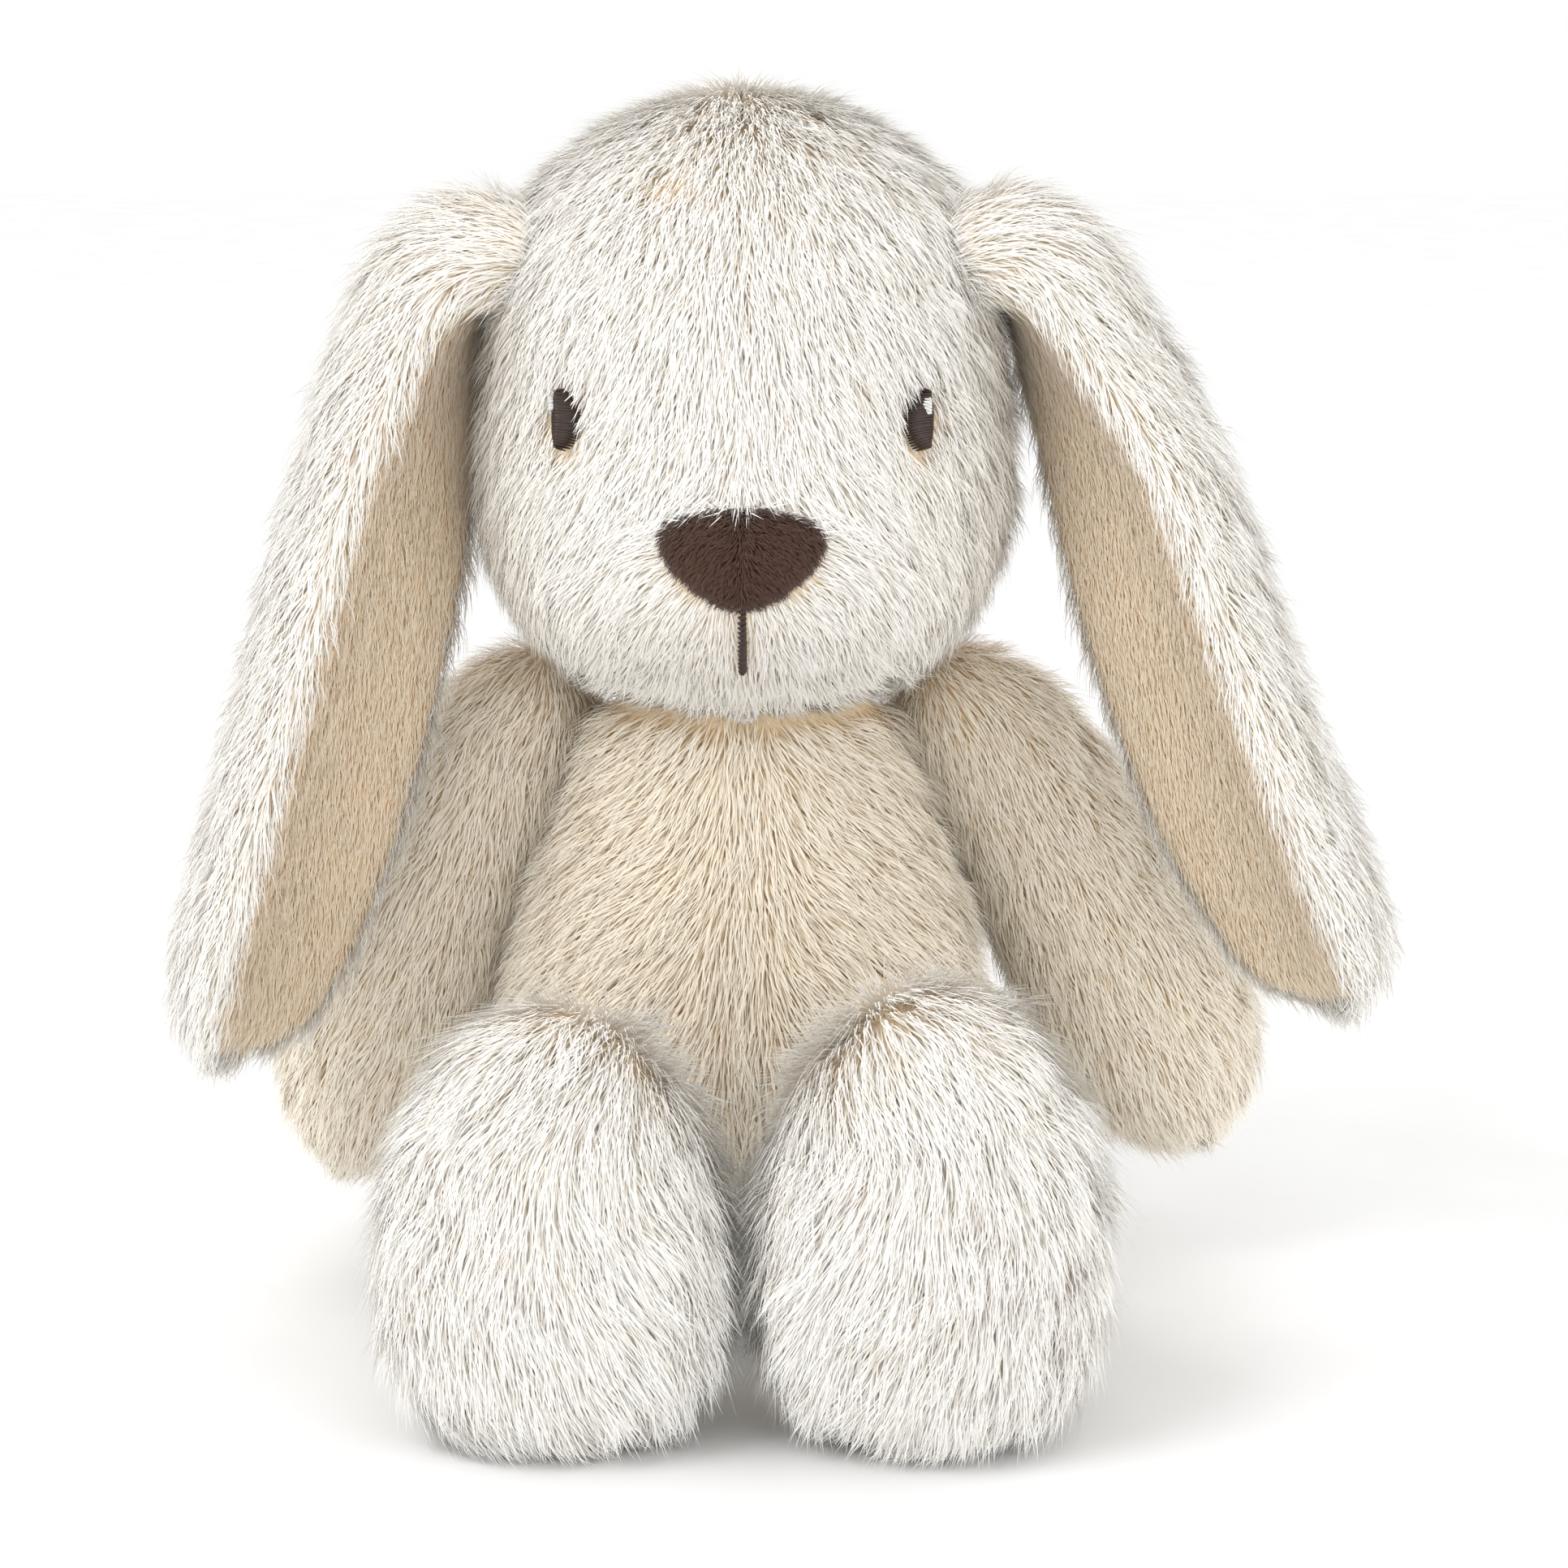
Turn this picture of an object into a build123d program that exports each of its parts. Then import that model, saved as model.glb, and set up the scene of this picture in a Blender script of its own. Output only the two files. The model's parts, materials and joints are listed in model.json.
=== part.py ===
from build123d import *
import os
from math import cos, degrees, radians, sin, sqrt

# A stuffed bunny rabbit, sitting. Millimetres, +Z up. The bunny faces -Y and its left side is +X.
# The origin is the middle of the flat underside of the seat.
# Each fur fabric is one layer: its backing with the settled pile on it.

# ---- driving dimensions -------------------------------------------------------------------
PILE = 6.0               # long-pile plush layer, backing and settled pile
SHORT_PILE = 3.0         # short-pile layer of the ear lining
TRIM = 1.2               # embroidery and nose patch above the plush
CLEAR = 0.5              # gap between pieces that move apart
JOIN_GAP = 2.0           # gap at the shoulders and hips, where the pile of both pieces settles

TORSO_WIDTH = 98.0
TORSO_HEIGHT = 123.0
SEAT_SINK = 8.0          # the underside is cut flat this far above the bottom of the egg
NECK_RADIUS = 20.0       # firm ball of stuffing packed into the neck

HEAD_WIDTH = 108.0
HEAD_HEIGHT = 129.0
HEAD_SINK = 2.0          # the head starts this far below the top of the torso, round the neck ball

EYE_APART = 66.0
EYE_WIDTH = 5.4
EYE_HEIGHT = 11.5
EYE_LEVEL = 67.0         # above the bottom of the head
NOSE_WIDTH = 30.0
NOSE_HEIGHT = 18.0
NOSE_LEVEL = 42.0        # above the bottom of the head
MOUTH_WIDTH = 2.2
MOUTH_LENGTH = 13.0

EAR_LENGTH = 167.0
EAR_WIDTH = 54.0
EAR_THICKNESS = 22.0
EAR_EDGE = 9.0           # rounding of the padded edge
EAR_WRAP = 8.0           # the outer fabric wraps this far over the lined side
EAR_HINGE = 11.0         # hinge point below the top of the ear
EAR_LEVEL = 97.0         # hinge point above the bottom of the head
EAR_OUT = 18.5           # hinge point outside the head
EAR_TURN = 32.0          # degrees that the lined side turns from facing inwards to facing forward
EAR_FORWARD = 13.0       # degrees that the ears hang forward
EAR_SPLAY = {"left": 24.0, "right": 21.0}   # degrees that each ear hangs outwards

ARM_LENGTH = 116.0
PAW_WIDTH = 43.0
SHOULDER_LEVEL = 103.0 / 123.0 * TORSO_HEIGHT   # the same share of any torso
SHOULDER_TURN = 22.0     # degrees that the shoulders sit behind the side of the torso
ARM_SPLAY = {"left": 41.0, "right": 38.0}

LEG_RADIUS = 18.0
LEG_REACH = 47.0         # hip point to the middle of the foot
LEG_RISE = 12.0          # degrees that the legs slope up to the feet
HIP_TURN = 36.0          # degrees from the front to each hip, round the torso
FOOT_WIDTH = 73.0
FOOT_DEPTH = 50.0
FEET_APART = 2.0         # gap between the two feet

POUCH_WIDTH = 60.0
POUCH_HEIGHT = 24.0
POUCH_CLOTH = 0.8
TAIL_RADIUS = 16.0
TAIL_LEVEL = 25.0
LABEL_WIDTH = 14.0
LABEL_LENGTH = 16.0
LABEL_TURN = 0.8         # degrees round the torso that the folded label is thick
THREAD = 1.0             # thickness of the closing thread
STITCHES = 7
STITCH_PITCH = 6.0
STITCH_TURN = 5.0        # degrees round the torso that one stitch crosses

FAR = 400.0              # larger than the bunny, for cutting
SIDES = {"left": 1, "right": -1}

# each egg outline is three tangent arcs: slopes, in degrees, where the end arcs meet the long one
TORSO_EGG = (80.0, 130.0)
HEAD_EGG = (80.0, 140.0)
ARM_EGG = (76.0, 100.0)
EAR_EGG = (75.0, 100.0)
FOOT_EGG = (50.0, 130.0)
POUCH_EGG = (40.0, 140.0)


# ---- outlines -----------------------------------------------------------------------------
def egg_arcs(width, height, slopes):
    """Radii of the bottom, middle and top arcs of an egg of this width and height."""
    s1, c1 = sin(radians(slopes[0])), cos(radians(slopes[0]))
    s2, c2 = sin(radians(slopes[1])), cos(radians(slopes[1]))
    low, high = (1 - c1) / s1, (1 + c2) / s2
    half = width / 2
    middle = (height - half * (low + high)) / (c1 - c2 - (1 - s1) * low - (1 - s2) * high)
    return (half - middle * (1 - s1)) / s1, middle, (half - middle * (1 - s2)) / s2


def egg(width, height, slopes, base=0.0, wall=0.0):
    """Half an egg on the +X side of the Y axis, from base upwards, moved inwards by wall."""
    first, second, third = egg_arcs(width - 2 * wall, height - 2 * wall, slopes)
    bottom = JernArc((0, base + wall), (1, 0), first, slopes[0])
    side = JernArc(bottom @ 1, bottom % 1, second, slopes[1] - slopes[0])
    top = JernArc(side @ 1, side % 1, third, 180 - slopes[1])
    return make_face(Curve() + [bottom, side, top, Line(top @ 1, bottom @ 0)])


def egg_spot(width, height, slopes, base, level, out):
    """Radius and height of the point that lies out from the egg's surface at a level, along its normal."""
    first, second, third = egg_arcs(width, height, slopes)
    start, reach = 0.0, base
    for radius, low, high in zip((first, second, third), (0.0, *slopes), (*slopes, 180.0)):
        centre = (start - radius * sin(radians(low)), reach + radius * cos(radians(low)))
        start = centre[0] + radius * sin(radians(high))
        reach = centre[1] - radius * cos(radians(high))
        if level <= reach:
            break
    rise = (level - centre[1]) / radius
    flat = sqrt(1 - rise * rise)
    return centre[0] + (radius + out) * flat, level + out * rise


def band(low, high):
    """A wide strip between two heights, for cutting outlines."""
    return Pos(0, (low + high) / 2) * Rectangle(FAR, high - low)


def turn(outline, start=0.0, sweep=360.0):
    """Turns an outline about the upright axis, from start degrees round from +X."""
    return Rot(0, 0, start) * Rot(90, 0, 0) * revolve(outline, Axis.Y, sweep)


def one(shape):
    """The solid of a result that holds one."""
    return max(shape.solids(), key=lambda solid: solid.volume)


def write(name, *solids):
    """One STEP file for each piece, or for a group of like pieces."""
    pieces = [one(solid) for solid in solids]
    export_step(pieces[0] if len(pieces) == 1 else Compound(pieces), f"parts/{name}.step")


# ---- torso --------------------------------------------------------------------------------
TORSO_SIZE = (TORSO_WIDTH, TORSO_HEIGHT + SEAT_SINK, TORSO_EGG, -SEAT_SINK)
NECK_LEVEL = TORSO_HEIGHT


def torso_face(wall):
    """Half the outline of the body, flat underneath."""
    return egg(*TORSO_SIZE, wall) & band(wall, FAR)


def neck_face(radius):
    return Pos(0, NECK_LEVEL) * Circle(radius)


def torso_pieces():
    """Four panels and the seat panel, with the stuffing, the pellet pouch and the neck inside."""
    socket = neck_face(NECK_RADIUS + CLEAR)
    seat_reach = egg_spot(*TORSO_SIZE, PILE, -PILE)[0]
    seat = Pos(seat_reach / 2, PILE / 2) * Rectangle(seat_reach, PILE)
    wall = torso_face(0.0) - torso_face(PILE) - seat - socket
    for name, start in (("back_left", 0), ("back_right", 90), ("front_right", 180), ("front_left", 270)):
        write(f"torso_{name}_panel", turn(wall, start, 90))
    write("seat_panel", turn(seat))
    pouch = (POUCH_WIDTH, POUCH_HEIGHT, POUCH_EGG, PILE)
    filling = egg(*pouch, POUCH_CLOTH)
    write("torso_stuffing", turn(torso_face(PILE) - egg(*pouch) - socket))
    write("pellet_pouch", turn(egg(*pouch) - filling))
    write("seat_pellets", turn(filling))
    write("neck_stuffing", Pos(0, 0, NECK_LEVEL) * Sphere(NECK_RADIUS))


def on_torso(proud, low, high, towards, sweep):
    """A small piece that follows the torso's surface and stands proud of it."""
    patch = (egg(*TORSO_SIZE, -proud) - egg(*TORSO_SIZE)) & band(low, high) & Pos(FAR / 2, 0) * Rectangle(FAR, FAR)
    return turn(patch, towards - sweep / 2, sweep)


def back_pieces():
    """Tail, ladder stitch of the closing seam and the blank label."""
    torso = turn(egg(*TORSO_SIZE))
    away = egg_spot(*TORSO_SIZE, TAIL_LEVEL, TAIL_RADIUS * 0.6)[0]
    tail = Pos(0, away, TAIL_LEVEL) * Sphere(TAIL_RADIUS)
    core = Pos(0, away, TAIL_LEVEL) * Sphere(TAIL_RADIUS - PILE)
    write("tail_cover", tail - core - torso)
    write("tail_stuffing", core - torso)
    first = TAIL_LEVEL + TAIL_RADIUS + STITCH_PITCH / 2
    levels = [first + STITCH_PITCH * i for i in range(STITCHES)]
    write("closing_stitches", *[on_torso(THREAD, z, z + THREAD, 90, STITCH_TURN) for z in levels])
    write("blank_label", on_torso(LABEL_LENGTH, LABEL_WIDTH, 2 * LABEL_WIDTH, 135, LABEL_TURN))


# ---- head ---------------------------------------------------------------------------------
HEAD_BASE = TORSO_HEIGHT - HEAD_SINK
HEAD_SIZE = (HEAD_WIDTH, HEAD_HEIGHT, HEAD_EGG, HEAD_BASE)
NOSE_Z = HEAD_BASE + NOSE_LEVEL
CHIN_SEAM = NOSE_Z - NOSE_HEIGHT / 2 - MOUTH_LENGTH - 2 * CLEAR


def head_trim(outline, x, z, above=0.0):
    """A flat outline laid on the face as a thin piece that follows the head."""
    patch = egg(*HEAD_SIZE, -TRIM - above) - egg(*HEAD_SIZE, -above)
    bar = Pos(x, 0, z) * extrude(Plane.XZ * outline, FAR / 2)
    return turn(patch, 190, 160) & bar


def nose_outline():
    """A rounded triangle, wide side up."""
    w, h = NOSE_WIDTH / 2, NOSE_HEIGHT / 2
    corner, side = 0.55 * h, (0.68 * w, -0.42 * h)
    top = ThreePointArc((-w, corner), (0, h), (w, corner))
    left = ThreePointArc((0, -h), (-side[0], side[1]), (-w, corner))
    right = ThreePointArc((w, corner), side, (0, -h))
    return make_face(Curve() + [top, right, left])


def head_pieces():
    """Face, chin and back panels, stuffing, and what is sewn on the face."""
    socket = neck_face(NECK_RADIUS + CLEAR)
    inside = egg(*HEAD_SIZE, PILE)
    wall = egg(*HEAD_SIZE) - inside - socket
    write("head_face_panel", turn(wall & band(CHIN_SEAM, FAR), 180, 180))
    write("head_chin_panel", turn(wall & band(0, CHIN_SEAM), 180, 180))
    write("head_back_left_panel", turn(wall, 0, 90))
    write("head_back_right_panel", turn(wall, 90, 90))
    write("head_stuffing", turn(inside - socket))
    write("nose_patch", head_trim(nose_outline(), 0, NOSE_Z))
    mouth_z = NOSE_Z - NOSE_HEIGHT / 2 - MOUTH_LENGTH / 2 - CLEAR
    write("mouth_stitch", head_trim(Rectangle(MOUTH_WIDTH, MOUTH_LENGTH), 0, mouth_z))
    for side, sign in SIDES.items():
        x, z = sign * EYE_APART / 2, HEAD_BASE + EYE_LEVEL
        write(f"eye_{side}", head_trim(Ellipse(EYE_WIDTH / 2, EYE_HEIGHT / 2), x, z))
        glint = Ellipse(EYE_WIDTH / 6, EYE_HEIGHT / 6)
        write(f"eye_highlight_{side}", head_trim(glint, x - sign * EYE_WIDTH / 8, z + EYE_HEIGHT / 5, TRIM))


# ---- ears ---------------------------------------------------------------------------------
EAR_POINT_R, EAR_POINT_Z = egg_spot(*HEAD_SIZE, HEAD_BASE + EAR_LEVEL, EAR_OUT)


def ear_outline(wall):
    """The whole outline of an ear, moved inwards by wall, with the ear's top at the origin."""
    half = egg(EAR_WIDTH, EAR_LENGTH, EAR_EGG, 0.0, wall)
    return half + mirror(half, about=Plane.YZ)


def ear_place(side):
    """Hangs an ear that lies on XY, with its lined side up, from its hinge point on the head."""
    sign = SIDES[side]
    upright = Rot(-90, 0, 0) * Pos(0, -EAR_HINGE, -EAR_THICKNESS / 2)
    turned = Rot(0, 0, sign * (90 + EAR_TURN))
    hung = Rot(-EAR_FORWARD, 0, 0) * Rot(0, -sign * EAR_SPLAY[side], 0)
    return Pos(sign * EAR_POINT_R, 0, EAR_POINT_Z) * hung * turned * upright


def ear_pieces(side):
    """Outer fabric that wraps round the edge, lining let into it, and wadding between them."""
    place = ear_place(side)
    body = extrude(ear_outline(0.0), EAR_THICKNESS)
    flats = body.faces().sort_by(Axis.Z)
    body = fillet(flats[0].edges() + flats[-1].edges(), EAR_EDGE)
    inner = ear_outline(EAR_WRAP)
    recess = Pos(0, 0, PILE) * extrude(inner, EAR_THICKNESS)
    padding = EAR_THICKNESS - PILE - SHORT_PILE
    write(f"ear_outer_{side}", place * one(body - recess))
    write(f"ear_wadding_{side}", place * Pos(0, 0, PILE) * extrude(inner, padding))
    write(f"ear_lining_{side}", place * Pos(0, 0, PILE + padding) * extrude(inner, SHORT_PILE))


# ---- arms ---------------------------------------------------------------------------------
ARM_SIZE = (PAW_WIDTH, ARM_LENGTH, ARM_EGG)
ARM_ROOT = egg_arcs(*ARM_SIZE)[0]
SHOULDER_R, SHOULDER_Z = egg_spot(*TORSO_SIZE, SHOULDER_LEVEL, ARM_ROOT + JOIN_GAP)


def shoulder(sign):
    turned = radians(SHOULDER_TURN)
    return sign * SHOULDER_R * cos(turned), SHOULDER_R * sin(turned), SHOULDER_Z


def arm_pieces(side):
    """Two sleeve panels and the stuffing of an arm that hangs from its shoulder point."""
    sign = SIDES[side]
    place = Pos(*shoulder(sign)) * Rot(0, sign * (180 - ARM_SPLAY[side]), 0)
    inside = egg(*ARM_SIZE, -ARM_ROOT, PILE)
    wall = egg(*ARM_SIZE, -ARM_ROOT) - inside
    outer, inner = (90, 270) if sign > 0 else (270, 90)
    write(f"arm_outer_{side}", place * turn(wall, outer, 180))
    write(f"arm_inner_{side}", place * turn(wall, inner, 180))
    write(f"arm_stuffing_{side}", place * turn(inside))


# ---- legs ---------------------------------------------------------------------------------
FOOT_SIZE = (FOOT_WIDTH, FOOT_DEPTH, FOOT_EGG, LEG_REACH - FOOT_DEPTH / 2)


def leg_face(wall):
    """The sleeve: a round hip end and a straight tube that runs into the foot."""
    radius = LEG_RADIUS - wall
    tube = Pos(radius / 2, LEG_REACH / 2) * Rectangle(radius, LEG_REACH)
    hip = Circle(radius) & Pos(FAR / 2, 0) * Rectangle(FAR, FAR)
    return tube + hip


FOOT_ROUND = egg_arcs(*FOOT_SIZE[:3])[1]
FOOT_Z = FOOT_ROUND + (FOOT_WIDTH / 2 - FOOT_ROUND) * cos(radians(LEG_RISE))
HIP_Z = FOOT_Z - LEG_REACH * sin(radians(LEG_RISE))
HIP_R = egg_spot(*TORSO_SIZE, HIP_Z, LEG_RADIUS + JOIN_GAP)[0]
HIP_X = HIP_R * sin(radians(HIP_TURN))
HIP_Y = -HIP_R * cos(radians(HIP_TURN))
FOOT_X = (FOOT_WIDTH + FEET_APART) / 2


def leg_place(sign):
    """Points the leg's axis forward and up, and towards the place of its foot."""
    lean = degrees((FOOT_X - HIP_X) / LEG_REACH)
    return Pos(sign * HIP_X, HIP_Y, HIP_Z) * Rot(0, 0, sign * lean) * Rot(90 - LEG_RISE, 0, 0)


def leg_pieces(side):
    """Leg sleeve, foot cover and sole, with the stuffing that fills them."""
    place = leg_place(SIDES[side])
    foot, foot_core = egg(*FOOT_SIZE), egg(*FOOT_SIZE, PILE)
    sleeve, sleeve_core = leg_face(0.0), leg_face(PILE)
    cover = foot - foot_core
    write(f"leg_sleeve_{side}", place * turn(sleeve - sleeve_core - foot))
    write(f"foot_cover_{side}", place * turn((cover & band(-FAR, LEG_REACH)) - sleeve_core))
    write(f"foot_sole_{side}", place * turn(cover & band(LEG_REACH, FAR)))
    write(f"leg_stuffing_{side}", place * turn(sleeve_core - foot_core))
    write(f"foot_stuffing_{side}", place * turn(foot_core))


# ---- the bunny ----------------------------------------------------------------------------
os.makedirs("parts", exist_ok=True)
torso_pieces()
back_pieces()
head_pieces()
for each_side in SIDES:
    ear_pieces(each_side)
    arm_pieces(each_side)
    leg_pieces(each_side)
print("neck", (0, 0, NECK_LEVEL))
print("ear", (round(EAR_POINT_R, 3), 0, round(EAR_POINT_Z, 3)))
print("shoulder", [round(value, 3) for value in shoulder(1)])
print("hip", [round(value, 3) for value in (HIP_X, HIP_Y, HIP_Z)])
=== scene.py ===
import json
import math

import bmesh
import bpy
import numpy as np
from bpy.props import FloatProperty, IntProperty, PointerProperty, StringProperty
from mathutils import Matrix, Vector
from mathutils.bvhtree import BVHTree
from mathutils.kdtree import KDTree

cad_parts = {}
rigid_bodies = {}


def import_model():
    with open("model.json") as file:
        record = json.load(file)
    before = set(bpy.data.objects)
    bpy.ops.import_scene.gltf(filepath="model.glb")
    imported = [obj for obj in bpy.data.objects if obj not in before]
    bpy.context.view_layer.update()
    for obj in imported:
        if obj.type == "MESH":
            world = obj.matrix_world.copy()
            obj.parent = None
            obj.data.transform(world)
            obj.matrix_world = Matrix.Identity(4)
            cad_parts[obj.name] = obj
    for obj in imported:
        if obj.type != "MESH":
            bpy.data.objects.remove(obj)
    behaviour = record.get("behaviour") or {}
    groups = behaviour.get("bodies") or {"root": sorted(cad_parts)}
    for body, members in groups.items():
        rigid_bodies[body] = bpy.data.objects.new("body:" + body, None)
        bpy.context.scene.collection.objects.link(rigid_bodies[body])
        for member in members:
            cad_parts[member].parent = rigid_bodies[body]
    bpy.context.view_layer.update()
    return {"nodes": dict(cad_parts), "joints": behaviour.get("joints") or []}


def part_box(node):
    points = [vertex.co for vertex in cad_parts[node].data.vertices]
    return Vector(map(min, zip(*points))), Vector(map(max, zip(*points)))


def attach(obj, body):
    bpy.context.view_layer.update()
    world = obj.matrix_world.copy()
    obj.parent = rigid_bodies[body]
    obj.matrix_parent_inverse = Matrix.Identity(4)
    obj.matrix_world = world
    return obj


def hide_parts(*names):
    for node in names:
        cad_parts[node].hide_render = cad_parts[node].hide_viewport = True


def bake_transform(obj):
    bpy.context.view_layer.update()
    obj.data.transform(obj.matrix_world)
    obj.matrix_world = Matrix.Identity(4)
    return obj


bl_info = {
    "name": "Stuffed bunny",
    "version": (1, 0, 0),
    "blender": (4, 5, 0),
    "location": "View3D > Sidebar > Bunny",
    "description": "Builds the plush skins, pile, face and stuffing of a sitting toy rabbit round its frame",
    "category": "Object",
}

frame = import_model()
MM = 0.001
SIDES = {"left": 1, "right": -1}
JOINTS = {joint["name"]: Vector(joint["pos_m"]) / MM for joint in frame["joints"]}


def node_box(*nodes):
    """The box round some CAD nodes, in millimetres."""
    lows, highs = zip(*(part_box(node) for node in nodes))
    return np.min(lows, axis=0) / MM, np.max(highs, axis=0) / MM


HEAD_LOW, HEAD_HIGH = node_box("head_face_panel", "head_chin_panel", "head_back_left_panel",
                               "head_back_right_panel")
HEAD_TALL = HEAD_HIGH[2] - HEAD_LOW[2]
NOSE_LOW, NOSE_HIGH = node_box("nose_patch")
NOSE_Z = (NOSE_LOW[2] + NOSE_HIGH[2]) / 2
EYE_LOW, EYE_HIGH = node_box("eye_left")
EYE_X, EYE_Z = (EYE_LOW[0] + EYE_HIGH[0]) / 2, (EYE_LOW[2] + EYE_HIGH[2]) / 2
MOUTH_LOW, MOUTH_HIGH = node_box("mouth_stitch")
SKIN_SHARE = 0.92    # how far a fibre is lit like the cloth it grows from, and not by its own face
PRESSED = 0.2        # pile under the toy lies flat on what it sits on, this far above it
EYE_DROP = 1.5       # how far the padding of the brow pushes the stitched eyes down


# ---- settings -----------------------------------------------------------------------------
def length(text, default):
    return FloatProperty(name=text, description=text + ", in metres", default=default, unit="LENGTH",
                         precision=5)


def colour(text, default):
    return StringProperty(name=text, description=text + " as an sRGB hex value", default=default)


class BunnyPileSettings(bpy.types.PropertyGroup):
    """Fibres of the plush."""
    head_length: length("Head pile", 0.0088)
    body_length: length("Body pile", 0.0094)
    foot_length: length("Foot pile", 0.0115)
    ear_length: length("Ear pile", 0.0100)
    lining_length: length("Ear lining pile", 0.0038)
    nose_length: length("Nose pile", 0.0024)
    fibre_width: length("Fibre tuft width", 0.00030)
    density: FloatProperty(name="Density", description="Fibre tufts on a square metre", default=2.35e6)
    seed: IntProperty(name="Seed", description="Seed of every random placing", default=7)


class BunnyColourSettings(bpy.types.PropertyGroup):
    """Colours of the fabrics and threads."""
    pile_tip: colour("Pile tip", "#fffefb")
    # painted shade: the root colours are darker and warmer where light is lost between the fibres
    pile_root_shade: colour("Pile root", "#fbecd6")
    lining_tip: colour("Lining tip", "#fff2dc")
    lining_root_shade: colour("Lining root", "#ffe0b4")
    nose_tip: colour("Nose tip", "#553c30")
    # the nose root colour is the painted shade of the nose pile and also the dark tone of its brown knit backing
    nose_root_shade_and_knit: colour("Nose root", "#2b1c15")
    # painted shade: the body pile is the same plush painted warmer and darker, as the shade under the chin and
    # between the limbs
    body_root_shade: colour("Body pile root", "#f3d6a8")
    body_tip_shade: colour("Body pile tip", "#fff8ea")
    thread_dark: colour("Eye and mouth thread", "#3b2a22")
    thread_light: colour("Highlight thread", "#f4f3f0")


class BunnyStageSettings(bpy.types.PropertyGroup):
    """Camera and light."""
    rise: FloatProperty(name="Rise", description="Camera elevation", default=math.radians(12),
                        subtype="ANGLE")
    distance: length("Camera distance", 0.9)
    lens: FloatProperty(name="Lens", description="Focal length in millimetres", default=100.7)
    sky: FloatProperty(name="Sky", description="Strength of the even white light", default=1.0)
    key: FloatProperty(name="Key", description="Power of the soft key light, in watts", default=7.0)


# ---- materials ----------------------------------------------------------------------------
def linear(code):
    """Linear colour of an sRGB hex value."""
    parts = [int(code[i:i + 2], 16) / 255 for i in (1, 3, 5)]
    return tuple(c / 12.92 if c <= 0.04045 else ((c + 0.055) / 1.055) ** 2.4 for c in parts) + (1.0,)


def add(tree, kind, settings=None, links=None, stops=()):
    """Adds a node, sets its properties, default inputs and colour stops of (place, hex), and links its inputs."""
    node = tree.nodes.new(kind)
    for key, value in (settings or {}).items():
        if isinstance(key, int) or key in node.inputs:
            node.inputs[key].default_value = value
        else:
            setattr(node, key, value)
    for key, source in (links or {}).items():
        tree.links.new(source, node.inputs[key])
    if stops:
        elements = node.color_ramp.elements
        while len(elements) < len(stops):
            elements.new(0.5)
        for element, (place, code) in zip(elements, stops):
            element.position = place
            element.color = linear(code)
    return node


def plain_material(name):
    made = bpy.data.materials.get(name)
    if made:
        return made, None
    made = bpy.data.materials.new(name)
    made.use_nodes = True
    made.node_tree.nodes.clear()
    return made, made.node_tree


def finish_material(tree, shader):
    add(tree, "ShaderNodeOutputMaterial", links={"Surface": shader.outputs[0]})


def pile_material(name, root, tip, sheen, rough):
    """Knitted plush: polyester fibres dyed evenly; the colour is painted darker and warmer towards the roots as the
    shade between the fibres, and pale at the tips. The map's U is the tuft's own tint and its V runs along the fibre."""
    made, tree = plain_material(name)
    if tree is None:
        return made
    uv = add(tree, "ShaderNodeUVMap", {"uv_map": "OFBake"})
    parts = add(tree, "ShaderNodeSeparateXYZ", links={0: uv.outputs[0]})
    # painted shade: the root colour stands for the shade between the fibres and fades into the tip colour by 0.55 of
    # the length
    along = add(tree, "ShaderNodeValToRGB", links={"Fac": parts.outputs["Y"]},
                stops=((0.0, root), (0.55, tip), (1.0, tip)))
    tint = add(tree, "ShaderNodeValToRGB", links={"Fac": parts.outputs["X"]},
               stops=((0.0, "#fdfaf4"), (0.45, "#fefdfb"), (1.0, "#ffffff")))
    mixed = add(tree, "ShaderNodeMix", {"data_type": "RGBA", "blend_type": "MULTIPLY", "Factor": 1.0},
                {6: along.outputs["Color"], 7: tint.outputs["Color"]})
    shader = add(tree, "ShaderNodeBsdfPrincipled",
                 {"Roughness": rough, "Sheen Weight": sheen, "Sheen Roughness": 0.5,
                  "Specular IOR Level": 0.2},
                 {"Base Color": mixed.outputs[2]})
    finish_material(tree, shader)
    return made


def cloth_material(name, dark, light, scale, rough=0.9, bump=0.2):
    """Cloth or fibre seen close: a fine mottled colour with a soft bump of the same scale in millimetres."""
    made, tree = plain_material(name)
    if tree is None:
        return made
    place = add(tree, "ShaderNodeTexCoord")
    noise = add(tree, "ShaderNodeTexNoise", {"Scale": 1 / (scale * MM), "Detail": 3.0},
                {"Vector": place.outputs["Object"]})
    tone = add(tree, "ShaderNodeValToRGB", links={"Fac": noise.outputs["Fac"]},
               stops=((0.3, dark), (0.7, light)))
    relief = add(tree, "ShaderNodeBump", {"Strength": bump, "Distance": 0.0004},
                 {"Height": noise.outputs["Fac"]})
    shader = add(tree, "ShaderNodeBsdfPrincipled", {"Roughness": rough, "Specular IOR Level": 0.2},
                 {"Base Color": tone.outputs["Color"], "Normal": relief.outputs[0]})
    finish_material(tree, shader)
    return made


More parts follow.
